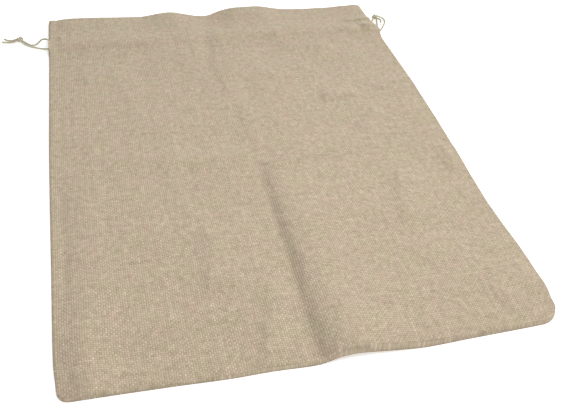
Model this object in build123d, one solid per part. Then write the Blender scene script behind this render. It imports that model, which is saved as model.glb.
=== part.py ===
from build123d import *

import math
import os

# A drawstring sack for sack races, lying flat on its back panel. X runs across it, Y from the bottom seam
# to the rim of the mouth and Z up. The origin is the middle of its footprint, on the floor. Millimetres.

# Driving dimensions
width = 520.0                # across, from side seam to side seam
length = 700.0               # from the bottom seam to the rim
cloth = 1.0                  # one ply of the cloth
body_gap = 5.2               # air between the two panels below the hems
mouth_gap = 4.6              # air between the two hems at the mouth
corner_radius = 10.0         # the two bottom corners

upper_row_depth = 61.0       # from the rim down to the upper row of stitches
lower_row_depth = 96.0       # from the rim down to the lower row, the other side of the cord casing
hem_margin = 4.0             # from the lower row down to the hem's cut edge
row_width = 0.8              # a row of stitches
hem_inset = 6.0              # between a hem's end and the side edge

side_height = 5.0            # where the front panel's side turns in, below the hems
side_slope = 10.0            # how far in from the side edge the front panel is level, below the hems
mouth_side_height = 9.0      # the same two at the mouth
mouth_side_slope = 8.0
bottom_slope = 10.0          # how far up from the bottom edge the front panel is level
hem_ramp = 100.0             # over which the front panel rises to the hem

allowance_width = 9.7        # seam allowance, turned inside
allowance_height = 2.0       # its two plies
edge_clearance = 1.3         # between the allowance and the outside of the sack
overlock_thread = 0.4        # overlock stitches round the allowance's cut edge
overlock_reach = 3.0         # how far they reach over it
seam_thread_width = 0.8
seam_thread_height = 0.6

cord_diameter = 3.0
cord_clearance = 0.3         # above and below a cord in its casing
cord_spacing = 8.0           # between the left and the right cord in one casing
left_front_cord_depth = 65.0     # from the rim down to the left cord in the front casing
left_back_cord_depth = 83.0      # and in the back casing
leg_inside = 26.0            # of a cord's leg that stays in the casing's end
run_gap_reach = 22.5         # from the side edge to where the far bight starts
bight_reach = 9.0            # from the side edge to the far bight's bend
slit_margin = 1.0            # between a stitch row's middle and the open slit in the side seam
front_notch = 27.0           # front hem's ends, cut back in the slit so that the legs pass
back_notch = 15.0            # back hem's ends, cut back for the bights
slit_wall = 8.5              # front panel's side, open this far in at the slit
knot_radius = 4.8

# Heights, from the floor up
channel = cord_diameter + 2 * cord_clearance
back_cord_z = cloth + channel / 2
back_hem_z = cloth + channel
front_hem_z = back_hem_z + cloth + mouth_gap
front_cord_z = front_hem_z + cloth + channel / 2
mouth_height = front_hem_z + cloth + channel + cloth
body_height = cloth + body_gap + cloth

# Places across and along
hem_depth = lower_row_depth + hem_margin
side_x = width / 2
rim_y = length / 2
bottom_y = -length / 2
hem_edge_y = rim_y - hem_depth
upper_row_y = rim_y - upper_row_depth
lower_row_y = rim_y - lower_row_depth
slit_top = upper_row_y - slit_margin
slit_bottom = lower_row_y + slit_margin
slit_middle = (slit_top + slit_bottom) / 2
hem_half = side_x - hem_inset


def block(x0, x1, y0, y1, z0, z1):
    """A box between two corners."""
    return Pos((x0 + x1) / 2, (y0 + y1) / 2, (z0 + z1) / 2) * Box(x1 - x0, y1 - y0, z1 - z0)


def both_sides(x0, x1, y0, y1, z0, z1):
    """The same box on the left and on the right of the sack."""
    return block(x0, x1, y0, y1, z0, z1) + block(-x1, -x0, y0, y1, z0, z1)


def outline(inset, mouth_overrun, height):
    """The sack's outline with its two round bottom corners, as a prism on the floor. The inset leaves the
    mouth alone, which can run past the rim."""
    flat = Pos(0, (inset + mouth_overrun) / 2) * Rectangle(width - 2 * inset, length - inset + mouth_overrun)
    flat = fillet(flat.vertices().group_by(Axis.Y)[0], corner_radius - inset)
    return extrude(flat, height)


def arch(stations):
    """A low arch along the sack. Each station is its y, half its width, the height where its side turns in,
    how far in it is level, and its height there."""
    faces = []
    for y, half, turn_z, slope, top_z in stations:
        right = [(half, y, cloth), (half, y, turn_z), (half - slope, y, top_z)]
        left = [(-x, y, z) for x, y, z in reversed(right)]
        faces.append(Face(Wire.make_polygon(right + left)))
    return loft(faces, ruled=True)


def panel_arch(ply, mouth_overrun):
    """The front panel's upper surface with ply = 0, or its lower one with ply = cloth."""
    half = side_x - ply

    def station(y, turn_z, slope, top_z):
        drop = ply * (1 - (top_z - turn_z) / slope)
        return (y, half, turn_z - drop, slope - ply, top_z - ply)

    return arch([
        station(bottom_y + ply, side_height - 0.1, side_slope, side_height),
        station(bottom_y + bottom_slope + ply, side_height, side_slope, body_height),
        station(hem_edge_y - hem_ramp, side_height, side_slope, body_height),
        station(hem_edge_y, mouth_side_height, mouth_side_slope, mouth_height),
        station(rim_y + mouth_overrun, mouth_side_height, mouth_side_slope, mouth_height),
    ])


def make_back_panel():
    """The flat panel that the sack lies on."""
    return outline(0, 0, cloth)


def make_front_panel():
    """The upper panel: a shallow tray turned over, open at the mouth and at the two cord slits."""
    outer = panel_arch(0, 0) & outline(0, 0, mouth_height + cloth)
    inner = panel_arch(cloth, cloth) & outline(cloth, cloth, mouth_height + cloth)
    slits = both_sides(side_x - slit_wall, side_x + cloth, slit_bottom, slit_top, 0, mouth_height + cloth)
    return outer - inner - slits


def make_hem(low, notch):
    """The top of a panel's cloth turned down inside: one level ply, with its ends cut back in the slits."""
    ply = block(-hem_half, hem_half, hem_edge_y, rim_y, low, low + cloth)
    return ply - both_sides(side_x - notch, side_x, slit_bottom, slit_top, low - cloth, low + 2 * cloth)


def make_rim_fold(low, high, half):
    """The fold along the rim, where a panel's cloth turns down into its hem."""
    return block(-half, half, rim_y - cloth, rim_y, low, high)


def make_hem_stitching(low, half):
    """The two rows of stitches that hold a hem down, above and below the cords."""
    rows = [
        block(-half, half, y - row_width / 2, y + row_width / 2, low, low + channel)
        for y in (lower_row_y, upper_row_y)
    ]
    return Compound(children=rows)


def seam_strip(run):
    """One straight seam: its allowance, lockstitch thread and overlock thread. It starts at the origin, runs
    along +Y, and lies on the back panel with the sack's outside at x = 0 and its inside towards +X."""
    near, far = edge_clearance, edge_clearance + allowance_width
    low = cloth + overlock_thread
    high = low + allowance_height
    thread_x = near + 1.7
    sunk = seam_thread_height * 2 / 3
    thread = block(thread_x, thread_x + seam_thread_width, 0, run, high - sunk, high - sunk + seam_thread_height)
    allowance = block(near, far, 0, run, low, high) + block(near, near + cloth, 0, run, cloth, low)
    wrap = block(far - overlock_reach, far + overlock_thread, 0, run, cloth, high + overlock_thread)
    return allowance - thread, thread, wrap - allowance


def make_side_seams():
    """The three strips of the left seam and of the right one, each in two lengths with the slit between."""
    low_start = bottom_y + edge_clearance + allowance_width + corner_radius / 2
    low = seam_strip(slit_bottom - 2 - low_start)
    high = seam_strip(rim_y - edge_clearance - slit_top - 2)
    left = [
        Compound(children=[Pos(-side_x, low_start, 0) * a, Pos(-side_x, slit_top + 2, 0) * b])
        for a, b in zip(low, high)
    ]
    right = [mirror(strip, about=Plane.YZ) for strip in left]
    return left, right


def make_bottom_seam():
    """The three strips of the bottom seam."""
    half = side_x - edge_clearance - allowance_width - 2 * overlock_thread
    place = Pos(half, bottom_y, 0) * Rot(0, 0, 90)
    return [place * strip for strip in seam_strip(2 * half)]


def tube(points, name):
    """A cord's tube: straight runs joined by arcs as large as the runs beside them allow."""
    points = [Vector(*p) for p in points]
    radii = []
    for before, corner, after in zip(points, points[1:], points[2:]):
        coming, going = corner - before, after - corner
        turn = math.radians(coming.get_angle(going))
        radii.append(0.45 * min(coming.length, going.length) / math.tan(turn / 2))
    path = FilletPolyline(*points, radius=radii)
    solid = sweep(Plane(path @ 0, z_dir=path % 0) * Circle(cord_diameter / 2), path=path)
    whole = math.pi * cord_diameter ** 2 / 4 * path.length
    print(name, "length", round(path.length, 1), "volume / section x length", round(solid.volume / whole, 4),
          "radii", [round(r, 1) for r in radii])
    return solid


def straight(x0, x1, y, z):
    """A straight run of cord across the sack."""
    return Pos((x0 + x1) / 2, y, z) * Rot(0, 90, 0) * Cylinder(cord_diameter / 2, abs(x1 - x0))


# The route of each cord outside the sack. A point is how far out it is from the side edge, how far it is
# towards the rim from the middle of the slit, and its height. The first two points of a leg are worked out.
left_knot = (42.5, 27.0, 4.9)
left_front_leg = [(8.0, 16.5, 9.0), (15.0, 16.5, 4.0), (20.5, 11.5, 1.9), (28.0, 13.0, 1.8), (35.7, 23.4, 2.4)]
left_back_leg = [(11.0, -0.5, 1.8), (18.5, 2.5, 1.8), (25.0, 7.0, 1.8), (32.0, 10.2, 1.8), (40.5, 19.0, 2.2)]
left_front_tail = [(48.5, 29.5, 3.0), (54.5, 29.0, 1.8), (61.0, 30.0, 1.8), (66.0, 33.5, 2.6)]
left_back_tail = [(48.5, 24.5, 3.0), (54.5, 24.2, 1.8), (61.5, 24.6, 1.8), (68.5, 26.5, 1.8)]

right_knot = (17.0, 37.5, 4.9)
right_front_leg = [(5.0, 9.5, 9.5), (8.5, 17.5, 4.5), (10.5, 27.0, 2.2)]
right_back_leg = [(10.0, -9.0, 1.8), (18.0, 2.0, 1.8), (26.0, 13.5, 1.8), (32.5, 25.0, 1.8), (32.5, 35.0, 1.8),
                  (24.5, 41.0, 3.2)]
right_front_tail = [(18.5, 31.5, 3.0), (17.5, 24.5, 1.8), (15.5, 17.0, 1.8), (12.5, 9.5, 1.8)]
right_back_tail = [(24.0, 34.5, 3.0), (26.0, 29.0, 1.8), (23.5, 23.0, 1.8)]


def make_cord(side, front_y, back_y, knot, front_leg, back_leg, front_tail, back_tail):
    """One drawstring's pieces. side is -1 for the left cord and +1 for the right one. It leaves the sack by
    two legs at its own side, goes round the mouth in both casings, and turns back at the other side."""
    name = {-1: "left", 1: "right"}[side] + "_cord_"

    def place(point):
        out, along, z = point
        return (side * (side_x + out), slit_middle + along, z)

    leg_x = side * (side_x - leg_inside)
    far_x = -side * (side_x - run_gap_reach)
    bend_x = -side * (side_x - bight_reach)
    exit_x = side * (side_x - 3)
    low_exit_x = side * (side_x + 2)
    knot_ball = Pos(*place(knot)) * Sphere(knot_radius)
    pieces = {
        "front_run": straight(leg_x, far_x, front_y, front_cord_z),
        "back_run": straight(leg_x, far_x, back_y, back_cord_z),
        "bight": tube([(far_x, front_y, front_cord_z), (bend_x, front_y, front_cord_z),
                       (bend_x, back_y, back_cord_z), (far_x, back_y, back_cord_z)], name + "bight"),
        "knot": knot_ball,
    }
    routes = {
        "front_leg": [(leg_x, front_y, front_cord_z), (exit_x, front_y, front_cord_z)]
        + [place(p) for p in front_leg + [knot]],
        "back_leg": [(leg_x, back_y, back_cord_z), (low_exit_x, back_y, back_cord_z)]
        + [place(p) for p in back_leg + [knot]],
        "front_tail": [place(p) for p in [knot] + front_tail],
        "back_tail": [place(p) for p in [knot] + back_tail],
    }
    for piece, route in routes.items():
        pieces[piece] = tube(route, name + piece) - knot_ball
    return {name + piece: solid for piece, solid in pieces.items()}


def main():
    left_seam, right_seam = make_side_seams()
    bottom_seam = make_bottom_seam()
    fold_half = side_x - mouth_side_slope - row_width
    parts = {
        "back_panel": make_back_panel(),
        "front_panel": make_front_panel(),
        "back_hem": make_hem(back_hem_z, back_notch),
        "front_hem": make_hem(front_hem_z, front_notch),
        "back_rim_fold": make_rim_fold(cloth, back_hem_z, hem_half),
        "front_rim_fold": make_rim_fold(front_hem_z + cloth, mouth_height - cloth, fold_half),
        "back_hem_stitching": make_hem_stitching(cloth, side_x - edge_clearance - allowance_width - 2),
        "front_hem_stitching": make_hem_stitching(front_hem_z + cloth, fold_half),
    }
    for side, strips in (("left", left_seam), ("right", right_seam), ("bottom", bottom_seam)):
        for piece, strip in zip(("seam_allowance", "seam_thread", "overlock_thread"), strips):
            parts[f"{side}_{piece}"] = strip

    front_y, back_y = rim_y - left_front_cord_depth, rim_y - left_back_cord_depth
    parts |= make_cord(-1, front_y, back_y, left_knot, left_front_leg, left_back_leg,
                       left_front_tail, left_back_tail)
    parts |= make_cord(1, front_y - cord_spacing, back_y - cord_spacing, right_knot, right_front_leg,
                       right_back_leg, right_front_tail, right_back_tail)

    os.makedirs("parts", exist_ok=True)
    for node, shape in parts.items():
        export_step(shape, f"parts/{node}.step")


main()
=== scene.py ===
import math

import bmesh
import bpy
from mathutils import Matrix, Quaternion, Vector, noise


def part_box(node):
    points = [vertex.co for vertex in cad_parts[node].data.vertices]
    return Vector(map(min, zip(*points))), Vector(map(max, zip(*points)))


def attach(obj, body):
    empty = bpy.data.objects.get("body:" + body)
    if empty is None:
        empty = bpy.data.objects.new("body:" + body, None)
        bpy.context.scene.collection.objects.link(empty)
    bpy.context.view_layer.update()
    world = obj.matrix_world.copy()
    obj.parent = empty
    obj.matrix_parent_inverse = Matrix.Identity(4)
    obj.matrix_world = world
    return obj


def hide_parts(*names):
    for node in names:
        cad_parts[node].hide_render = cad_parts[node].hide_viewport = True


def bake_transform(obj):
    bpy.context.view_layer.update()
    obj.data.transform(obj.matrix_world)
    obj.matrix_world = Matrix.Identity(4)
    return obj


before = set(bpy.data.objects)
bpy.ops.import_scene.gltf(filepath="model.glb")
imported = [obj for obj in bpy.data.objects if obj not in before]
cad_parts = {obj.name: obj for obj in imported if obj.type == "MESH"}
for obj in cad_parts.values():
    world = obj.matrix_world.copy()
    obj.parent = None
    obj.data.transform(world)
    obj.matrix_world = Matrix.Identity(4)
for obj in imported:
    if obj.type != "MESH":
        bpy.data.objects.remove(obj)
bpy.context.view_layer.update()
mm = 0.001

# ---- The sack cloth -------------------------------------------------------------------------------------
# A plain weave of slubby jute-look yarns, about eleven to the inch each way. The yarns that run up the sack
# are a little paler than those across it, and no two are quite the same shade or thickness.
cloth_thickness = 0.9 * mm
yarn_pitch = 2.35 * mm
yarn_shades = ((0.365, 0.292, 0.205), (0.450, 0.368, 0.268), (0.560, 0.475, 0.362))


def link(tree, start, end):
    tree.links.new(start, end)


def math_node(tree, operation, first, second=None):
    node = tree.nodes.new("ShaderNodeMath")
    node.operation = operation
    for socket, value in zip(node.inputs, (first, second)):
        if value is None:
            continue
        if isinstance(value, (int, float)):
            socket.default_value = value
        else:
            link(tree, value, socket)
    return node.outputs[0]


def combine(tree, x, y, z=0.0):
    node = tree.nodes.new("ShaderNodeCombineXYZ")
    for socket, value in zip(node.inputs, (x, y, z)):
        if isinstance(value, (int, float)):
            socket.default_value = value
        else:
            link(tree, value, socket)
    return node.outputs[0]


def cloud(tree, vector, scale, detail=2.0, roughness=0.5):
    """Soft noise from 0 to 1 over a vector."""
    node = tree.nodes.new("ShaderNodeTexNoise")
    node.inputs["Scale"].default_value = scale
    node.inputs["Detail"].default_value = detail
    node.inputs["Roughness"].default_value = roughness
    link(tree, vector, node.inputs["Vector"])
    return node.outputs["Fac"]


def ramp(tree, factor, stops):
    """Colours along a factor, from (position, colour) stops."""
    node = tree.nodes.new("ShaderNodeValToRGB")
    while len(node.color_ramp.elements) < len(stops):
        node.color_ramp.elements.new(0.5)
    for element, (position, colour) in zip(node.color_ramp.elements, stops):
        element.position = position
        element.color = (*colour, 1.0)
    link(tree, factor, node.inputs["Fac"])
    return node.outputs["Color"]


def mix(tree, factor, first, second, blend="MIX"):
    node = tree.nodes.new("ShaderNodeMix")
    node.data_type = "RGBA"
    node.blend_type = blend
    for socket, value in zip((node.inputs[0], node.inputs[6], node.inputs[7]), (factor, first, second)):
        if isinstance(value, (int, float)):
            socket.default_value = value
        elif isinstance(value, tuple):
            socket.default_value = (*value, 1.0)
        else:
            link(tree, value, socket)
    return node.outputs[2]


def make_weave_group():
    """Plain weave over a vector in metres: the yarns' colour, the height of the surface from 0 to 1."""
    tree = bpy.data.node_groups.new("plain_weave", "ShaderNodeTree")
    tree.interface.new_socket("Vector", in_out="INPUT", socket_type="NodeSocketVector")
    tree.interface.new_socket("Pitch", in_out="INPUT", socket_type="NodeSocketFloat")
    tree.interface.new_socket("Color", in_out="OUTPUT", socket_type="NodeSocketColor")
    tree.interface.new_socket("Height", in_out="OUTPUT", socket_type="NodeSocketFloat")
    tree.interface.new_socket("Roughness", in_out="OUTPUT", socket_type="NodeSocketFloat")
    entry = tree.nodes.new("NodeGroupInput")
    leave = tree.nodes.new("NodeGroupOutput")

    # The yarns wander a little, so that no line of the weave is quite straight
    wander = tree.nodes.new("ShaderNodeTexNoise")
    wander.inputs["Scale"].default_value = 16.0
    wander.inputs["Detail"].default_value = 4.0
    link(tree, entry.outputs["Vector"], wander.inputs["Vector"])
    moved = tree.nodes.new("ShaderNodeVectorMath")
    moved.operation = "MULTIPLY_ADD"
    link(tree, wander.outputs["Color"], moved.inputs[0])
    moved.inputs[1].default_value = (0.0045, 0.0045, 0.0)
    link(tree, entry.outputs["Vector"], moved.inputs[2])
    parts = tree.nodes.new("ShaderNodeSeparateXYZ")
    link(tree, moved.outputs[0], parts.inputs[0])
    across = math_node(tree, "DIVIDE", parts.outputs["X"], entry.outputs["Pitch"])
    along_it = math_node(tree, "DIVIDE", parts.outputs["Y"], entry.outputs["Pitch"])

    warp_number = math_node(tree, "FLOOR", across)
    weft_number = math_node(tree, "FLOOR", along_it)
    warp_middle = math_node(tree, "SUBTRACT", math_node(tree, "FRACT", across), 0.5)
    weft_middle = math_node(tree, "SUBTRACT", math_node(tree, "FRACT", along_it), 0.5)
    parity = math_node(tree, "PINGPONG", math_node(tree, "ADD", warp_number, weft_number), 1.0)
    over = math_node(tree, "SUBTRACT", math_node(tree, "MULTIPLY", parity, 2.0), 1.0)

    def yarn(number, middle, other_middle, lengthwise, paleness, seed):
        """One set of yarns: their shade along their length, and how high they stand."""
        place = combine(tree, math_node(tree, "MULTIPLY", lengthwise, 0.24),
                        math_node(tree, "MULTIPLY", number, 5.17), seed)
        slub = cloud(tree, place, 1.0, 3.0, 0.65)
        own = tree.nodes.new("ShaderNodeTexWhiteNoise")
        own.noise_dimensions = "2D"
        link(tree, combine(tree, number, seed), own.inputs["Vector"])
        # The fibres run slantwise round the yarn
        slope = math_node(tree, "MULTIPLY", lengthwise, 2.6)
        slant = math_node(tree, "ADD", slope, math_node(tree, "MULTIPLY", middle, 2.2))
        fibre = cloud(tree, combine(tree, slant, math_node(tree, "MULTIPLY", middle, 2.5), number), 1.6, 2.0)
        shade = math_node(tree, "ADD", math_node(tree, "MULTIPLY", slub, 1.0), paleness)
        shade = math_node(tree, "ADD", shade, math_node(tree, "MULTIPLY", own.outputs["Value"], 0.12))
        shade = math_node(tree, "ADD", shade, math_node(tree, "MULTIPLY", fibre, 0.35))
        shade = math_node(tree, "SUBTRACT", shade, 0.24)
        swing = math_node(tree, "COSINE", math_node(tree, "MULTIPLY", other_middle, math.pi))
        round_ = math_node(tree, "COSINE", math_node(tree, "MULTIPLY", middle, math.pi * 0.94))
        thick = math_node(tree, "ADD", 0.42, math_node(tree, "MULTIPLY", slub, 0.36))
        body = math_node(tree, "MULTIPLY", round_, thick)
        body = math_node(tree, "ADD", body, math_node(tree, "MULTIPLY", fibre, 0.12))
        return shade, swing, body

    warp_shade, warp_swing, warp_body = yarn(warp_number, warp_middle, weft_middle, along_it, 0.075, 3.0)
    weft_shade, weft_swing, weft_body = yarn(weft_number, weft_middle, warp_middle, across, -0.075, 11.0)
    lift = 0.42
    warp_high = math_node(tree, "ADD", warp_body,
                          math_node(tree, "MULTIPLY", math_node(tree, "MULTIPLY", warp_swing, over), lift))
    weft_high = math_node(tree, "SUBTRACT", weft_body,
                          math_node(tree, "MULTIPLY", math_node(tree, "MULTIPLY", weft_swing, over), lift))
    warp_on_top = math_node(tree, "GREATER_THAN", warp_high, weft_high)
    height = math_node(tree, "MAXIMUM", warp_high, weft_high)
    shades = [(0.2, yarn_shades[0]), (0.5, yarn_shades[1]), (0.82, yarn_shades[2])]
    colour = mix(tree, warp_on_top, ramp(tree, weft_shade, shades), ramp(tree, warp_shade, shades))

    # Light is lost in the holes between the yarns
    depth = tree.nodes.new("ShaderNodeMapRange")
    depth.inputs["From Min"].default_value = 0.2
    depth.inputs["From Max"].default_value = 0.95
    depth.inputs["To Min"].default_value = 0.70
    depth.inputs["To Max"].default_value = 1.04
    link(tree, height, depth.inputs["Value"])
    colour = mix(tree, 1.0, colour, combine(tree, *[depth.outputs[0]] * 3), "MULTIPLY")

    # The yarns' lots drift from pinkish to greenish straw over a hand's breadth
    drift = cloud(tree, entry.outputs["Vector"], 40.0, 3.0, 0.6)
    tints = [(0.34, (1.025, 0.98, 0.99)), (0.5, (1.0, 0.995, 0.98)), (0.66, (0.98, 1.01, 0.94))]
    tint = ramp(tree, drift, tints)
    colour = mix(tree, 1.0, colour, tint, "MULTIPLY")
    blotch = cloud(tree, entry.outputs["Vector"], 150.0, 3.0, 0.65)
    blotches = ramp(tree, blotch, [(0.3, (0.87, 0.865, 0.85)), (0.7, (1.13, 1.13, 1.13))])
    colour = mix(tree, 1.0, colour, blotches, "MULTIPLY")
    link(tree, colour, leave.inputs["Color"])
    link(tree, height, leave.inputs["Height"])
    rough = math_node(tree, "ADD", 0.98, math_node(tree, "MULTIPLY", height, -0.1))
    link(tree, rough, leave.inputs["Roughness"])
    return tree


weave_group = make_weave_group()


def weave_material(name, map_name):
    """The cloth's finish. The weave follows the piece's own map, in metres, or else its place."""
    material = bpy.data.materials.new(name)
    material.use_nodes = True
    tree = material.node_tree
    shader = tree.nodes["Principled BSDF"]
    if map_name:
        source = tree.nodes.new("ShaderNodeUVMap")
        source.uv_map = map_name
        vector = source.outputs["UV"]
    else:
        vector = tree.nodes.new("ShaderNodeTexCoord").outputs["Object"]
    weave = tree.nodes.new("ShaderNodeGroup")
    weave.node_tree = weave_group
    weave.inputs["Pitch"].default_value = yarn_pitch
    link(tree, vector, weave.inputs["Vector"])
    link(tree, weave.outputs["Color"], shader.inputs["Base Color"])
    link(tree, weave.outputs["Roughness"], shader.inputs["Roughness"])
    bump = tree.nodes.new("ShaderNodeBump")
    bump.inputs["Strength"].default_value = 0.75
    bump.inputs["Distance"].default_value = 0.32 * mm
    link(tree, weave.outputs["Height"], bump.inputs["Height"])
    link(tree, bump.outputs["Normal"], shader.inputs["Normal"])
    shader.inputs["Specular IOR Level"].default_value = 0.15
    shader.inputs["Sheen Weight"].default_value = 0.12
    shader.inputs["Sheen Roughness"].default_value = 0.6
    return material


sack_cloth = weave_material("sack_cloth", "cloth")

# ---- How the cloth lies ---------------------------------------------------------------------------------
# Two panels lie one on the other. The sack was folded in four for the shop, so a sharp crease runs up its
# middle and a softer one across it, and the mouth stands open a little in two low humps.
back_low, back_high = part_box("back_panel")
side_x, rim_y, bottom_y = back_high.x, back_high.y, back_low.y
hem_edge_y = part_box("front_hem")[0].y
row_low, row_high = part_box("front_hem_stitching")
row_half = 0.4 * mm
lower_row_y, upper_row_y = row_low.y + row_half, row_high.y - row_half
hem_gap = 2.6 * mm               # from the outside of a panel to the outside of its hem, inside
cord_bulge = 2.4 * mm            # that a cord adds
fold_radius = hem_gap / 2
seam_height = 1.3 * mm           # where the two panels meet at the side
mouth_seam_height = 3.2 * mm     # the same between the hems

# The lines below are (place, value) stations in millimetres
rim_heights = [(-260, 3.4), (-254, 4.8), (-235, 8.0), (-180, 6.9), (-133, 5.2), (-112, 5.2),
               (-84, 9.4), (-66, 10.6), (-45, 7.2), (-14, 4.2), (5, 7.0), (30, 12.4), (62, 13.8),
               (84, 12.9), (105, 8.6), (130, 5.6), (160, 4.8), (195, 5.0), (227, 6.4), (250, 7.6), (260, 5.5)]
rim_pull = [(-260, 0), (-60, 0), (-14, -6.0), (20, 0), (260, 0)]       # how far the rim is drawn down
bottom_bow = [(-260, 0.5), (-200, -0.5), (-150, -1.8), (-100, -3.5), (-60, -3.2), (-15, -4.5),
              (10, -2.2), (30, -1.4), (60, -3.0), (100, -4.6), (150, -3.2), (200, -2.0), (260, 0)]
bottom_lift = [(-60, 0), (-16, 0), (14, 4.0), (32, 3.8), (60, 2.0), (95, 0)]
left_bow = [(-350, 1.6), (-300, -0.8), (-200, -1.3), (0, -2.2), (150, -1.2), (350, 0)]
right_bow = [(-350, -1.0), (-290, 2.0), (-240, 2.0), (-180, -0.8), (-120, 0.8), (-60, 3.6),
             (0, 6.0), (100, 8.0), (200, 7.6), (243, 6.6), (262, 8.6), (285, 4.6), (350, 2.2)]
mouth_level = [(190, 4.1), (225, 4.3), (240, 5.2), (254, 7.1), (263, 8.5), (275, 9.0), (284, 8.7),
               (293, 7.5), (303, 6.6), (350, 6.0)]
crease_line = [(-350, -12), (-300, -12.5), (-240, -10.5), (-204, -9.5), (-120, -8.5), (-63, -6), (-23, -6),
               (44, -12), (92, -15), (144, -24), (200, -28), (250, -20), (350, -14)]
crease_height = [(-350, 8.6), (-320, 10.4), (-280, 10.6), (-200, 9.6), (-120, 7.0), (-80, 4.4),
                 (-50, 1.6), (-10, 1.3), (100, 1.7), (165, 2.6), (250, 2.4), (290, 0.5), (350, 0)]
crease_width = [(-350, 18), (-300, 17), (-220, 15), (-120, 12), (-60, 9), (0, 6), (130, 6),
                (170, 10), (350, 9)]
# Smaller creases and dents: start, end, height, and how far it falls away to its left and to its right
small_creases = [
    ((-135, -24), (-8, -24), 2.8, 9, 34),
    ((2, -62), (80, -43), 3.0, 20, 5),
    ((80, -38), (158, -16), 1.6, 16, 16),
    ((42, 154), (118, 181), 2.4, 13, 20),
    ((118, 88), (172, 85), 3.5, 22, 13),
    ((142, 2), (182, 46), 2.8, 5, 24),
    ((168, -84), (142, -182), 3.2, 46, 10),
    ((246, -48), (238, -100), 3.2, 18, 9),
    ((-38, -250), (-68, -352), 3.0, 46, 8),
    ((-88, -155), (-100, -245), 2.6, 46, 11),
    ((98, 230), (170, 228), 2.2, 13, 22),
    ((-114, 214), (-30, 237), 2.2, 13, 22),
    ((-218, 174), (-158, 180), 2.0, 14, 22),
    ((201, 95), (258, 119), 2.6, 14, 5),
    ((-214, 264), (-106, 262), 1.0, 22, 12),
    ((44, 264), (96, 264), 1.2, 20, 13),
    ((188, 264), (254, 266), 1.4, 16, 13),
    ((216, 288), (262, 297), 4.2, 12, 5),
    ((234, 270), (256, 272), 3.0, 9, 6),
    ((-262, 290), (-238, 288), 3.4, 9, 5),
    ((-234, -268), (-228, -362), 3.2, 15, 46),
    ((202, -326), (262, -300), 2.8, 40, 12),
    ((-18, 130), (-24, 50), 1.6, 10, 30),
]


def clamp(value, low=0.0, high=1.0):
    return max(low, min(high, value))


def smooth(share):
    share = clamp(share)
    return share * share * (3 - 2 * share)


def bell(distance, width):
    return math.exp(-(distance / width) ** 2)


def along(position, stations):
    """A smooth line through (position, value) stations, both in millimetres. Gives metres."""
    place = clamp(position / mm, stations[0][0], stations[-1][0])
    last = len(stations) - 1
    k = next(i for i in range(last) if place <= stations[i + 1][0])
    (x0, y0), (x1, y1) = stations[k], stations[k + 1]

    def slope(i):
        before, after = stations[max(i - 1, 0)], stations[min(i + 1, last)]
        return (after[1] - before[1]) / (after[0] - before[0])

    share, run = (place - x0) / (x1 - x0), x1 - x0
    first, second = slope(k) * run, slope(k + 1) * run
    rise = y1 - y0
    bend = 3 * rise - 2 * first - second + share * (first + second - 2 * rise)
    return (y0 + share * (first + share * bend)) * mm


def crease(x, y, start, end, height, left, right):
    """A low ridge along a line. It is sharp at the top and falls away on each side."""
    (x0, y0), (x1, y1) = start, end
    run = math.hypot(x1 - x0, y1 - y0)
    along_x, along_y = (x1 - x0) / run, (y1 - y0) / run
    px, py = x / mm - x0, y / mm - y0
    share = (px * along_x + py * along_y) / run
    aside = px * along_y - py * along_x
    width = right if aside > 0 else left
    fall = math.exp(1.0 - math.sqrt(1.0 + (aside / width) ** 2 * 4))
    return height * mm * fall * smooth((share + 0.12) / 0.3) * smooth((1.12 - share) / 0.3)


def centre_crease(x, y):
    """The fold up the middle: it rises sharply from a line, facing left, and eases off to its right."""
    height, width = along(y, crease_height), along(y, crease_width)
    aside = x - along(y, crease_line)
    soft = 1.6 * mm
    past = soft * math.log1p(math.exp(min(aside / soft, 40.0)))
    rise = math.tanh(past / width)
    ease = math.exp(-max(0.0, aside - 2.2 * width) / (90 * mm))
    return height * rise * ease


def casing_bulge(y, middle, width):
    inside = smooth((y - lower_row_y) / (5 * mm)) * smooth((upper_row_y - y) / (5 * mm))
    return cord_bulge * math.exp(-((y - middle) / width) ** 4) * inside


def back_hem_top(y):
    return hem_gap + casing_bulge(y, lower_row_y + 10 * mm, 9 * mm)


def front_hem_gap(y):
    return hem_gap + casing_bulge(y, upper_row_y - 9 * mm, 10 * mm)


def lifted_edge(x, y):
    """How far both panels stand off the floor, at the middle of the bottom seam."""
    return max(0.0, along(x, bottom_lift)) * (1 - smooth((y - bottom_y) / (70 * mm)))


def slit_share(y):
    """1 in the open slit of a side seam and 0 away from it."""
    middle, half = (lower_row_y + upper_row_y) / 2, (upper_row_y - lower_row_y) / 2
    return smooth((half - abs(y - middle)) / (6 * mm))


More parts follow.
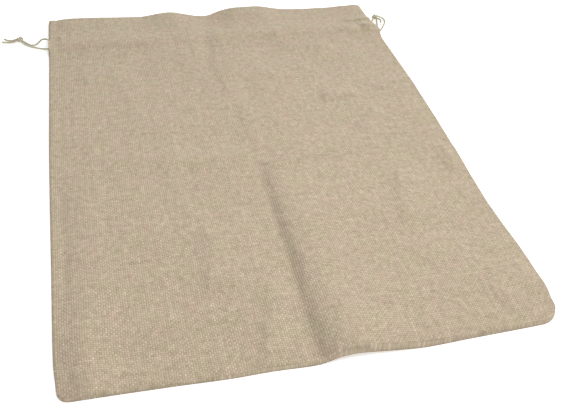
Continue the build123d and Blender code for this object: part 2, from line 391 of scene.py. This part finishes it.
def front_height(x, y):
    """The outside of the front panel."""
    hem_share = smooth((y - hem_edge_y + 12 * mm) / (14 * mm))
    level = along(y, mouth_level)
    rim_share = clamp((y - upper_row_y + 14 * mm) / (rim_y - upper_row_y + 8 * mm))
    rim_share = 0.6 * rim_share + 0.4 * smooth(rim_share)
    level += rim_share * (along(x, rim_heights) - level)
    level -= 0.2 * mm * (bell(y - lower_row_y, 3.0 * mm) + bell(y - upper_row_y, 3.0 * mm))
    spot = Vector((x, y, 0.0))
    still = 1 - 0.75 * rim_share
    broad = 1.3 * mm * noise.noise(spot / (110 * mm))
    level += still * (broad + 0.6 * mm * noise.noise(spot / (42 * mm) + Vector((5, 2, 1))))
    fine = 0.55 * mm * noise.noise(spot / (22 * mm) + Vector((1, 7, 3)))
    level += fine + 0.24 * mm * noise.noise(spot / (11 * mm))
    casing_middle = (lower_row_y + upper_row_y) / 2
    pucker = noise.noise(Vector((x / (17 * mm), y / (90 * mm), 7.0)))
    towards_side = 0.45 + 0.55 * smooth((abs(x) - 120 * mm) / (120 * mm))
    level += 1.4 * mm * pucker * bell(y - casing_middle, 34 * mm) * towards_side
    level += centre_crease(x, y)
    level += sum(crease(x, y, *one) for one in small_creases)
    # The loose cloth never sinks into what lies under it
    inwards = side_x - abs(x)
    border = max(smooth((14 * mm - inwards) / (6 * mm)), smooth((13 * mm - (y - bottom_y)) / (6 * mm)))
    least = 2.2 * mm + 1.2 * mm * border + hem_share * (2.0 + 1.0 * border) * mm
    if x < 0:
        level += 1.5 * mm * bell(inwards - 36 * mm, 20 * mm) * smooth((-20 * mm - y) / (60 * mm))
        level -= 1.6 * mm * smooth((26 * mm - inwards) / (22 * mm)) * smooth((-20 * mm - y) / (60 * mm))
    upwards = y - bottom_y
    level -= 0.8 * mm * smooth((30 * mm - inwards) / (25 * mm)) * smooth((40 * mm - upwards) / (30 * mm))
    level = least + math.log1p(math.exp((level - least) / (0.3 * mm))) * 0.3 * mm
    level += lifted_edge(x, y)

    seam = seam_height + hem_share * (mouth_seam_height - seam_height)
    seam += slit_share(y) * 5.2 * mm + lifted_edge(x, y)
    in_from_side = clamp(inwards / (3 * mm))
    in_from_bottom = clamp(upwards / (2.2 * mm))
    rounding = math.sqrt(1 - (1 - in_from_side) ** 2.2) * math.sqrt(1 - (1 - in_from_bottom) ** 2.2)
    return seam + (level - seam) * rounding


def settle(x, y, z):
    """Where a point of the flat sack really lies: its outline is bowed and its bottom corners are round."""
    radius = 27 * mm if x > 0 else 12 * mm
    beyond = clamp((abs(x) - side_x + radius) / radius)
    corner = radius * (1 - math.sqrt(max(0.0, 1 - beyond * beyond)))
    near_bottom = 1 - smooth((y - bottom_y) / (90 * mm))
    near_rim = smooth((y - rim_y + 55 * mm) / (55 * mm))
    bow = along(y, right_bow if x > 0 else left_bow)
    down = along(x, bottom_bow) * near_bottom + along(x, rim_pull) * near_rim
    tuck = corner * (1 - smooth((y - bottom_y) / (45 * mm)))
    return Vector((x + bow * (abs(x) / side_x) ** 3, y + down + tuck, z))


def front_point(x, run):
    """A point of the front cloth: run is how far it is along the cloth from the bottom seam, over the rim."""
    y = bottom_y + run
    turn = math.pi * fold_radius
    past = y - (rim_y - fold_radius)
    if past <= 0:
        return settle(x, y, front_height(x, y))
    edge = front_height(x, rim_y - fold_radius)
    if past < turn:
        angle = past / fold_radius
        reach = fold_radius * math.sin(angle)
        drop = fold_radius * (1 - math.cos(angle))
        return settle(x, rim_y - fold_radius, edge - drop) + Vector((0, reach, 0))
    y = rim_y - fold_radius - (past - turn)
    return settle(x, y, front_height(x, y) - front_hem_gap(y))


def back_point(x, run):
    """The same for the back cloth, which lies on the floor with its hem on top."""
    y = bottom_y + run
    turn = math.pi * fold_radius
    past = y - (rim_y - fold_radius)
    inwards = side_x - abs(x)
    curl = seam_height * 0.55 * (1 - math.sqrt(clamp(inwards / (5 * mm))))
    floor = lifted_edge(x, y) + curl + 0.05 * mm
    if past <= 0:
        return settle(x, y, floor)
    if past < turn:
        angle = past / fold_radius
        rise = fold_radius * (1 - math.cos(angle))
        reach = fold_radius * math.sin(angle)
        return settle(x, rim_y - fold_radius, floor + rise) + Vector((0, reach, 0))
    y = rim_y - fold_radius - (past - turn)
    return settle(x, y, back_hem_top(y) + curl)


# ---- The panels -----------------------------------------------------------------------------------------
# Each panel is one cut of cloth with its hem, 520 by 800 mm without the allowances, folded over at the rim.
# The front one is in two halves that meet in the middle crease.
cloth_run = (rim_y - bottom_y) + math.pi * fold_radius - 2 * fold_radius + (rim_y - hem_edge_y)


def stations_between(spans):
    """Places along a line, evenly spaced within each (start, end, step) span."""
    places = [spans[0][0]]
    for start, end, step in spans:
        count = max(1, round((end - start) / step))
        places += [start + (end - start) * (k + 1) / count for k in range(count)]
    return places


def across_places():
    """From the middle crease to a side edge, closer where the cloth bends more."""
    return [place * mm for place in stations_between(
        [(0, 30, 2.2), (30, 200, 3.8), (200, 240, 3.0), (240, 252, 2.0), (252, side_x / mm, 0.9)])]


def run_places():
    rim = (rim_y - bottom_y) / mm
    lower, upper = (lower_row_y - bottom_y) / mm, (upper_row_y - bottom_y) / mm
    turn = math.pi * fold_radius / mm
    flat_end = rim - fold_radius / mm
    spans = [(0, 8, 1.0), (8, 40, 3.2), (40, lower - 18, 4.0), (lower - 18, lower - 4, 2.8),
             (lower - 4, lower + 4, 0.9), (lower + 4, upper - 4, 2.4),
             (upper - 4, upper + 4, 0.9), (upper + 4, flat_end - 4, 3.4),
             (flat_end - 4, flat_end, 1.4), (flat_end, flat_end + turn, 0.55),
             (flat_end + turn, flat_end + turn + 4, 1.4),
             (flat_end + turn + 4, cloth_run / mm, 3.2)]
    return [place * mm for place in stations_between(spans)]


def thicken(name, mesh, thickness):
    """The cloth's real thickness, under the mesh's faces, with crisp cut edges."""
    flat = bpy.data.objects.new(name + "_flat", mesh)
    bpy.context.scene.collection.objects.link(flat)
    wall = flat.modifiers.new("ply", "SOLIDIFY")
    wall.thickness = thickness
    wall.offset = -1.0
    solid = bpy.data.meshes.new_from_object(flat.evaluated_get(bpy.context.evaluated_depsgraph_get()))
    bpy.data.objects.remove(flat)
    solid.name = name
    solid.shade_smooth()
    solid.set_sharp_from_angle(angle=math.radians(50))
    piece = bpy.data.objects.new(name, solid)
    bpy.context.scene.collection.objects.link(piece)
    return piece


def make_cloth(name, across, runs, point, material, upside_down=False):
    """A grid of cloth laid by point(), with its map in metres of cloth, and its real thickness."""
    shape = bmesh.new()
    cloth_map = shape.loops.layers.uv.new("cloth")
    bmesh.ops.create_grid(shape, x_segments=len(across) - 1, y_segments=len(runs) - 1, size=1.0)
    where = {}
    for vertex in shape.verts:
        column = round((vertex.co.x + 1) / 2 * (len(across) - 1))
        row = round((vertex.co.y + 1) / 2 * (len(runs) - 1))
        where[vertex] = (across[column], runs[row])
    for face in shape.faces:
        for loop in face.loops:
            x, run = where[loop.vert]
            loop[cloth_map].uv = (x + side_x, run)
    for vertex, (x, run) in where.items():
        vertex.co = point(x, run)
    if upside_down:
        bmesh.ops.reverse_faces(shape, faces=shape.faces)
    mesh = bpy.data.meshes.new(name)
    shape.to_mesh(mesh)
    shape.free()
    mesh.materials.append(material)
    return thicken(name, mesh, cloth_thickness)


right_half = across_places()
left_half = [-place for place in reversed(right_half)]
runs = run_places()

back_panel = make_cloth("back_cloth", left_half[:-1] + right_half, runs, back_point, sack_cloth, True)
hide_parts("back_panel", "back_hem", "back_rim_fold")
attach(back_panel, "back")

# This far out is where the drawstrings leave the casing; each front half's edge is set from it, though
# nothing uses that edge.
fixed_x = 0.232
for side, across in (("left", left_half), ("right", right_half)):
    panel = make_cloth(f"front_cloth_{side}", across, runs, front_point, sack_cloth)
    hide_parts("front_panel", "front_hem", "front_rim_fold")
    edge = fixed_x if side == "right" else -fixed_x
    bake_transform(panel)

# ---- The hems' stitches ---------------------------------------------------------------------------------
# Two rows of lockstitch in spun thread hold each hem down and make the cord casing between them. Each stitch
# Each stitch shows on the outside of the panel and on the inside of the hem.
stitch_pitch = 3.8 * mm
stitch_length = 3.0 * mm
thread_radius = 0.32 * mm


def thread_material(name, dark, pale):
    material = bpy.data.materials.new(name)
    material.use_nodes = True
    tree = material.node_tree
    shader = tree.nodes["Principled BSDF"]
    place = tree.nodes.new("ShaderNodeTexCoord").outputs["Object"]
    fibre = cloud(tree, place, 2200.0, 2.0, 0.6)
    length = cloud(tree, place, 90.0, 2.0, 0.5)
    fine = math_node(tree, "MULTIPLY", fibre, 0.4)
    both = math_node(tree, "ADD", fine, math_node(tree, "MULTIPLY", length, 0.6))
    link(tree, ramp(tree, both, [(0.3, dark), (0.7, pale)]), shader.inputs["Base Color"])
    roughness = math_node(tree, "ADD", 0.7, math_node(tree, "MULTIPLY", fibre, 0.2))
    link(tree, roughness, shader.inputs["Roughness"])
    bump = tree.nodes.new("ShaderNodeBump")
    bump.inputs["Strength"].default_value = 0.5
    bump.inputs["Distance"].default_value = 0.05 * mm
    link(tree, fibre, bump.inputs["Height"])
    link(tree, bump.outputs["Normal"], shader.inputs["Normal"])
    shader.inputs["Specular IOR Level"].default_value = 0.25
    return material


sewing_thread = thread_material("sewing_thread", (0.43, 0.35, 0.25), (0.56, 0.47, 0.35))


def finish_curve(name, curve, material):
    """A curve's mesh as a piece."""
    curve.use_fill_caps = True
    line = bpy.data.objects.new(name + "_line", curve)
    bpy.context.scene.collection.objects.link(line)
    mesh = bpy.data.meshes.new_from_object(line.evaluated_get(bpy.context.evaluated_depsgraph_get()))
    bpy.data.objects.remove(line)
    mesh.name = name
    mesh.materials.clear()
    mesh.materials.append(material)
    mesh.shade_smooth()
    piece = bpy.data.objects.new(name, mesh)
    bpy.context.scene.collection.objects.link(piece)
    return piece


def make_stitches(name, lines):
    """Stitches along lines of points, each a bead of thread between two neighbouring points."""
    curve = bpy.data.curves.new(name, "CURVE")
    curve.dimensions = "3D"
    curve.bevel_depth = thread_radius
    curve.bevel_resolution = 1
    for points in lines:
        for start, end in zip(points[::2], points[1::2]):
            spline = curve.splines.new("POLY")
            spline.points.add(4)
            for point, share, size in zip(spline.points, (0, 0.1, 0.5, 0.9, 1), (0.3, 0.8, 1.0, 0.8, 0.3)):
                point.co = (*Vector(start).lerp(Vector(end), share), 1.0)
                point.radius = size
    return finish_curve(name, curve, sewing_thread)


def hem_run(y):
    """How far along the cloth the hem's own ply is at y."""
    return (rim_y - bottom_y) - 2 * fold_radius + math.pi * fold_radius + (rim_y - y)


def stitch_line(point, run, start, end, lift):
    """Pairs of points, the two ends of each stitch, on a panel or its hem."""
    count = int((end - start) / stitch_pitch)
    points = []
    for k in range(count):
        x = start + (k + 0.5) * stitch_pitch
        for reach in (-stitch_length / 2, stitch_length / 2):
            points.append(point(x + reach, run) + Vector((0, 0, lift)))
    return points


row_end = side_x - 11 * mm
for name, point, lift, spans in (
        ("back", back_point, 0.12 * mm, ((-row_end, row_end),)),
        ("front", front_point, -0.12 * mm, ((-row_end, 0), (0, row_end)))):
    for start, end in spans:
        lines = []
        for row in (lower_row_y, upper_row_y):
            lines.append(stitch_line(point, row - bottom_y, start, end, lift))
            lines.append(stitch_line(point, hem_run(row), start, end, -lift))
        if name == "back":
            stitches = make_stitches("back_hem_stitches", lines)
            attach(stitches, "back")
        else:
            half = "left" if start < 0 else "right"
            stitches = make_stitches(f"front_hem_stitches_{half}", lines)
            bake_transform(stitches)
        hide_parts(f"{name}_hem_stitching")

# ---- The seams ------------------------------------------------------------------------------------------
# The panels are sewn together inside out along the left, the right and the bottom, and turned. Inside, the
# two cut edges lie together as an allowance, with its row of lockstitch and overlock thread round its edge.
allowance_width = 9.7 * mm
allowance_inset = 2.2 * mm
ply_step = 0.75 * mm
overlock_pitch = 3.0 * mm
overlock_reach = 3.2 * mm
seam_row_inset = 3.6 * mm
overlock_radius = 0.2 * mm

inner_cloth = weave_material("inner_cloth", "")
overlock_thread = thread_material("overlock_thread", (0.46, 0.39, 0.29), (0.66, 0.58, 0.45))


def seam_place(seam, inset, distance, height):
    """A point of a seam: inset from the sack's edge, a distance along it, and a height over its base."""
    if seam == "bottom":
        spot = settle(distance, bottom_y + inset, height)
        return spot + Vector((0, 0, lifted_edge(distance, bottom_y + inset)))
    x = (side_x - inset) * (1 if seam == "right" else -1)
    spot = settle(x, distance, height)
    return spot + Vector((0, 0, lifted_edge(x, distance)))


def ply_wave(seed, distance):
    return 0.12 * mm * noise.noise(Vector((distance / (14 * mm), seed, 0.0)))


def make_allowance(seam, lengths):
    """Two plies of cloth, one on the other, along each length of the seam."""
    shape = bmesh.new()
    for start, end, base in lengths:
        for ply in range(2):
            rows = max(2, round((end - start) / (5 * mm)))
            grid = bmesh.ops.create_grid(shape, x_segments=3, y_segments=rows, size=1.0)
            for vertex in grid["verts"]:
                distance = start + (vertex.co.y + 1) / 2 * (end - start)
                inset = allowance_inset + (vertex.co.x + 1) / 2 * (allowance_width - ply * 0.4 * mm)
                rise = base + ply_step * ply + ply_wave(ply * 3.1 + 1, distance) * (vertex.co.x + 1) / 2
                vertex.co = seam_place(seam, inset, distance, rise)
    shape.normal_update()
    bmesh.ops.reverse_faces(shape, faces=[face for face in shape.faces if face.normal.z > 0])
    mesh = bpy.data.meshes.new(f"{seam}_allowance")
    shape.to_mesh(mesh)
    shape.free()
    mesh.materials.append(inner_cloth)
    return thicken(f"{seam}_allowance", mesh, ply_step * 0.95)


def make_overlock(seam, lengths):
    """The thread that loops over the cut edge, from its underside to a row of needle stitches on top."""
    curve = bpy.data.curves.new(f"{seam}_overlock", "CURVE")
    curve.dimensions = "3D"
    curve.bevel_depth = overlock_radius
    curve.bevel_resolution = 1
    curve.resolution_u = 2
    edge = allowance_inset + allowance_width
    for start, end, base in lengths:
        top = base + 2 * ply_step + 0.15 * mm
        middle = base + ply_step
        low = base - 0.05 * mm
        loop = [(edge - overlock_reach, 0.0, top), (edge - 1.2 * mm, 0.12, top),
                (edge + 0.25 * mm, 0.25, middle), (edge - 1.0 * mm, 0.38, low),
                (edge + 0.25 * mm, 0.5, middle), (edge - 1.2 * mm, 0.65, top)]
        places = []
        for k in range(int((end - start) / overlock_pitch)):
            for inset, share, height in loop:
                places.append(seam_place(seam, inset, start + (k + share) * overlock_pitch, height))
        spline = curve.splines.new("NURBS")
        spline.points.add(len(places) - 1)
        for point, place in zip(spline.points, places):
            point.co = (*place, 1.0)
        spline.order_u = 3
        spline.use_endpoint_u = True
    return finish_curve(f"{seam}_overlock", curve, overlock_thread)


def seam_row(seam, start, end, height):
    count = int((end - start) / stitch_pitch)
    points = []
    for k in range(count):
        for reach in (-stitch_length / 2, stitch_length / 2):
            place = start + (k + 0.5) * stitch_pitch + reach
            points.append(seam_place(seam, seam_row_inset, place, height))
    return points


on_panel = cloth_thickness + 0.1 * mm
on_hem = hem_gap + 0.1 * mm
side_lengths = [(bottom_y + 14 * mm, lower_row_y - 1 * mm, on_panel),
                (upper_row_y + 3 * mm, rim_y - 4 * mm, on_hem)]
bottom_lengths = [(-side_x + 20 * mm, side_x - 20 * mm, on_panel)]
for seam, lengths in (("left", side_lengths), ("right", side_lengths), ("bottom", bottom_lengths)):
    allowance = make_allowance(seam, lengths)
    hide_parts(f"{seam}_seam_allowance")
    rows = [seam_row(seam, start, end, base + 2 * ply_step) for start, end, base in lengths]
    thread = make_stitches(f"{seam}_seam_stitches", rows)
    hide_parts(f"{seam}_seam_thread")
    overlock = make_overlock(seam, lengths)
    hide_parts(f"{seam}_overlock_thread")
    for piece in (allowance, thread, overlock):
        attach(piece, "back")

# ---- The drawstrings ------------------------------------------------------------------------------------
# Three-strand natural cotton cord, 3 mm thick. Each one goes round the mouth inside both casings and comes
# out at its own side, where its two ends are tied together in an overhand knot.
cord_diameter = 3 * mm
cord_twist = 8.5 * mm            # along the cord for one whole turn


def cord_material():
    material = bpy.data.materials.new("drawcord")
    material.use_nodes = True
    tree = material.node_tree
    shader = tree.nodes["Principled BSDF"]
    place = tree.nodes.new("ShaderNodeTexCoord").outputs["Object"]
    fibre = cloud(tree, place, 900.0, 3.0, 0.6)
    patch = cloud(tree, place, 160.0, 2.0, 0.5)
    fine = math_node(tree, "MULTIPLY", fibre, 0.55)
    both = math_node(tree, "ADD", fine, math_node(tree, "MULTIPLY", patch, 0.45))
    stops = [(0.3, (0.36, 0.33, 0.24)), (0.5, (0.52, 0.49, 0.37)), (0.72, (0.66, 0.63, 0.50))]
    link(tree, ramp(tree, both, stops), shader.inputs["Base Color"])
    roughness = math_node(tree, "ADD", 0.78, math_node(tree, "MULTIPLY", fibre, 0.2))
    link(tree, roughness, shader.inputs["Roughness"])
    bump = tree.nodes.new("ShaderNodeBump")
    bump.inputs["Strength"].default_value = 0.6
    bump.inputs["Distance"].default_value = 0.15 * mm
    link(tree, fibre, bump.inputs["Height"])
    link(tree, bump.outputs["Normal"], shader.inputs["Normal"])
    shader.inputs["Specular IOR Level"].default_value = 0.2
    return material


drawcord = cord_material()


def make_strand_section(name, radius, strands, points):
    """The section of a twisted cord or thread: one lobe for each strand."""
    curve = bpy.data.curves.new(name, "CURVE")
    curve.dimensions = "2D"
    spline = curve.splines.new("POLY")
    spline.points.add(points - 1)
    for k, point in enumerate(spline.points):
        angle = 2 * math.pi * k / points
        reach = radius * (0.81 + 0.19 * math.cos(strands * angle))
        point.co = (reach * math.cos(angle), reach * math.sin(angle), 0.0, 1.0)
    spline.use_cyclic_u = True
    section = bpy.data.objects.new(name, curve)
    bpy.context.scene.collection.objects.link(section)
    return section


def make_route(name, route, twist, closed=False, detail=14):
    """A smooth curve with the route's points as its control points, turning as a laid cord does."""
    curve = bpy.data.curves.new(name, "CURVE")
    curve.dimensions = "3D"
    curve.resolution_u = detail
    curve.twist_mode = "MINIMUM"
    spline = curve.splines.new("NURBS")
    spline.points.add(len(route) - 1)
    gone, before = 0.0, Vector(route[0])
    for point, place in zip(spline.points, route):
        gone += (Vector(place) - before).length
        before = Vector(place)
        point.co = (*place, 1.0)
        point.tilt = 2 * math.pi * gone / twist
    if closed:
        spline.use_cyclic_u = True
        spline.order_u = 4
    else:
        spline.order_u = 3
        spline.use_endpoint_u = True
    return bpy.data.objects.new(name, curve)


def make_cord(name, route, section, twist, material, closed=False, detail=14):
    """A cord's mesh, swept along its route, and the points of its middle line."""
    line = make_route(name + "_line", route, twist, closed, detail)
    bpy.context.scene.collection.objects.link(line)
    depsgraph = bpy.context.evaluated_depsgraph_get()
    bare = bpy.data.meshes.new_from_object(line.evaluated_get(depsgraph))
    middle = [tuple(vertex.co) for vertex in bare.vertices]
    line.data.bevel_mode = "OBJECT"
    line.data.bevel_object = section
    line.data.use_fill_caps = True
    bpy.context.view_layer.update()
    depsgraph = bpy.context.evaluated_depsgraph_get()
    mesh = bpy.data.meshes.new_from_object(line.evaluated_get(depsgraph))
    bpy.data.objects.remove(line)
    bpy.data.meshes.remove(bare)
    shape = bmesh.new()
    shape.from_mesh(mesh)
    bmesh.ops.remove_doubles(shape, verts=shape.verts, dist=0.01 * mm)
    bmesh.ops.recalc_face_normals(shape, faces=shape.faces)
    shape.to_mesh(mesh)
    shape.free()
    mesh.name = name
    mesh.shade_smooth()
    mesh.materials.clear()
    mesh.materials.append(material)
    piece = bpy.data.objects.new(name, mesh)
    bpy.context.scene.collection.objects.link(piece)
    return piece, middle


cord_section = make_strand_section("cord_section", cord_diameter / 2, 3, 18)


def make_knot(name, middle, lean, spin):
    """An overhand knot, pulled tight: the cord goes twice round and three times in and out."""
    ring, swell = 2.8 * mm, 1.6 * mm
    turn = Quaternion((0, 0, 1), spin) @ Quaternion((1, 0, 0), lean)
    route = []
    for k in range(18):
        angle = 2 * math.pi * k / 18
        reach = ring + swell * math.cos(3 * angle)
        height = 1.25 * swell * math.sin(3 * angle)
        spot = Vector((reach * math.cos(2 * angle), reach * math.sin(2 * angle), height))
        route.append(Vector(middle) + turn @ spot)
    knot, _ = make_cord(name, route, knot_section, cord_twist, drawcord, closed=True, detail=8)
    return knot


knot_section = make_strand_section("knot_section", cord_diameter / 2 * 0.92, 3, 15)

# Each end's route, from inside the casing, out through the slit, through the knot and on to its cut end
left_knot = (-302.5, 298.5, 4.4)
left_front = [(-234, 285.3, -1), (-246, 285.3, -1), (-256, 286, 5.2), (-263, 290, 7.2), (-270, 293, 6.0),
              (-275.5, 289, 2.4), (-280.5, 283, 1.6), (-288, 284.2, 1.6), (-295.6, 293.4, 2.2), left_knot,
              (-308.5, 301, 3.0), (-314.5, 300.5, 1.6), (-321, 301.5, 1.6), (-326, 305, 2.6)]
left_back = [(-234, 267, 2.9), (-247, 267, 2.9), (-262, 267.5, 2.7), (-271, 271.5, 1.7), (-279, 275.5, 1.6),
             (-286, 279.5, 1.6), (-292.5, 284.5, 1.6), (-299.5, 292, 2.4), left_knot,
             (-308.5, 296, 3.0), (-314.5, 295.7, 1.6), (-321.5, 296.1, 1.6), (-328.5, 298, 1.6)]
right_knot = (277, 309, 4.4)
right_front = [(234, 278, -1), (246, 279, -1), (256.5, 283, 5.2), (264.5, 289.5, 6.4), (269.5, 298, 4.6),
               (272.5, 306, 4.0), (275, 311.5, 4.4), (279.5, 311.5, 5.0), (280, 306, 4.0), (278, 300, 2.2),
               (276.5, 294, 1.6), (274.5, 287.5, 1.6), (272.5, 281, 1.6)]
right_back = [(234, 259, 2.9), (247, 259, 2.9), (262, 259, 2.7), (270, 262.5, 1.7), (278, 273.5, 1.6),
              (286, 285, 1.6), (292.5, 296.5, 1.6), (292.5, 306.5, 1.6), (285.5, 312.0, 3.0),
              (278.5, 313.5, 4.4), (274.5, 309, 4.8), (278, 304.5, 4.4), (284, 304, 2.6),
              (286, 299.5, 1.6), (283.5, 294, 1.6)]


def front_cord_height(x, y):
    """The middle of a cord that lies under the front cloth."""
    return front_height(x, y) - cloth_thickness - cord_diameter / 2


def back_cord_height(y):
    return back_hem_top(y) / 2


def in_metres(route):
    """Metres, with the places inside the casing at the cord's height there."""
    places = [tuple(value * mm for value in place) for place in route]
    return [(x, y, front_cord_height(x, y) if z < 0 else z) for x, y, z in places]


for side, edge, knot_place, front_route, back_route, spin in (
        ("left", -side_x, left_knot, left_front, left_back, 0.5),
        ("right", side_x, right_knot, right_front, right_back, 1.3)):
    body = f"{side}_drawstring"
    knot = make_knot(f"{side}_knot", in_metres([knot_place])[0], 0.35, spin)
    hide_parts(f"{side}_cord_knot")
    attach(knot, body)
    for end, route in (("front", front_route), ("back", back_route)):
        cord, middle = make_cord(f"{side}_{end}_end", in_metres(route), cord_section, cord_twist, drawcord)
        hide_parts(f"{side}_cord_{end}_leg", f"{side}_cord_{end}_tail")
        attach(cord, body)

# Inside the casings each cord runs across to the far side, turns from the front casing to the back one, and
# runs back. The front runs are in two halves, as the front cloth is.
far_run_x = side_x - 22.5 * mm
near_run_x = side_x - 26 * mm
bend_x = side_x - 9 * mm


def casing_route(start, end, y, height):
    count = max(4, round(abs(end - start) / (28 * mm)))
    places = [start + (end - start) * k / count for k in range(count + 1)]
    return [(x, y, height(x, y)) for x in places]


for side, sign in (("left", -1), ("right", 1)):
    front_y = (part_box(f"{side}_cord_front_run")[0].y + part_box(f"{side}_cord_front_run")[1].y) / 2
    back_y = (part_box(f"{side}_cord_back_run")[0].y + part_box(f"{side}_cord_back_run")[1].y) / 2
    low, high = sorted((sign * near_run_x, -sign * far_run_x))
    for half, start, end in (("left", low, 0.0), ("right", 0.0, high)):
        run, _ = make_cord(f"{side}_front_run_{half}", casing_route(start, end, front_y, front_cord_height),
                           cord_section, cord_twist, drawcord, detail=6)
        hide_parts(f"{side}_cord_front_run")
        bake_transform(run)
    route = casing_route(low, high, back_y, lambda x, y: back_cord_height(y))
    run, _ = make_cord(f"{side}_back_run", route, cord_section, cord_twist, drawcord, detail=6)
    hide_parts(f"{side}_cord_back_run")
    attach(run, "back")
    far, bend = -sign * far_run_x, -sign * bend_x
    top, low_z = front_cord_height(far, front_y), back_cord_height(back_y)
    turn = [(far, front_y, top), (far - sign * 7 * mm, front_y, top), (bend, front_y - 2 * mm, top - 1 * mm),
            (bend, (front_y + back_y) / 2, (top + low_z) / 2), (bend, back_y + 2 * mm, low_z + 0.4 * mm),
            (far - sign * 7 * mm, back_y, low_z), (far, back_y, low_z)]
    bight, _ = make_cord(f"{side}_bight", turn, cord_section, cord_twist, drawcord, detail=8)
    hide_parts(f"{side}_cord_bight")
    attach(bight, "back")

for section in (cord_section, knot_section):
    bpy.data.objects.remove(section)

# ---- The floor, the light and the camera ----------------------------------------------------------------
# A plain white floor, a soft light beyond the far right corner, a small one overhead, a weak one low down on
# the near side, and a pale room.
floor_shape = bmesh.new()
bmesh.ops.create_grid(floor_shape, x_segments=1, y_segments=1, size=6.0)
floor_mesh = bpy.data.meshes.new("floor")
floor_shape.to_mesh(floor_mesh)
floor_shape.free()
floor = bpy.data.objects.new("floor", floor_mesh)
bpy.context.scene.collection.objects.link(floor)
paper = bpy.data.materials.new("white_floor")
paper.use_nodes = True
paper.node_tree.nodes["Principled BSDF"].inputs["Base Color"].default_value = (0.92, 0.92, 0.92, 1)
paper.node_tree.nodes["Principled BSDF"].inputs["Roughness"].default_value = 0.9
paper.node_tree.nodes["Principled BSDF"].inputs["Emission Color"].default_value = (1, 1, 1, 1)
paper.node_tree.nodes["Principled BSDF"].inputs["Emission Strength"].default_value = 0.38
floor_mesh.materials.append(paper)

world = bpy.data.worlds.new("pale_room")
world.use_nodes = True
world.node_tree.nodes["Background"].inputs["Color"].default_value = (1.0, 1.0, 1.0, 1)
world.node_tree.nodes["Background"].inputs["Strength"].default_value = 0.46
bpy.context.scene.world = world


def make_light(name, place, aim, size, power):
    lamp = bpy.data.lights.new(name, "AREA")
    lamp.size = size
    lamp.energy = power
    holder = bpy.data.objects.new(name, lamp)
    holder.location = place
    holder.rotation_mode = "QUATERNION"
    holder.rotation_quaternion = (Vector(aim) - Vector(place)).to_track_quat("-Z", "Y")
    holder.visible_camera = False
    bpy.context.scene.collection.objects.link(holder)


make_light("key_light", (4.4, 4.6, 3.6), (0, 0, 0), 2.0, 400.0)
make_light("high_light", (0.14, -0.22, 1.0), (0.1, -0.1, 0), 0.5, 3.9)
make_light("near_light", (0.2, -3.0, 1.1), (0, -0.3, 0), 1.2, 21.0)


lens = bpy.data.cameras.new("camera")
lens.sensor_width = 36.0
lens.lens = 45.38
camera = bpy.data.objects.new("camera", lens)
camera.location = (-0.18469, -0.72490, 0.57254)
camera.rotation_mode = "QUATERNION"
camera_roll = math.radians(5.46)
looking = Vector((0.22214, 0.70659, -0.67185))
camera.rotation_quaternion = looking.to_track_quat("-Z", "Y") @ Quaternion((0, 0, 1), camera_roll)
bpy.context.scene.collection.objects.link(camera)
bpy.context.scene.camera = camera
bpy.context.scene.view_settings.view_transform = "Standard"
bpy.context.scene.cycles.filter_width = 1.4
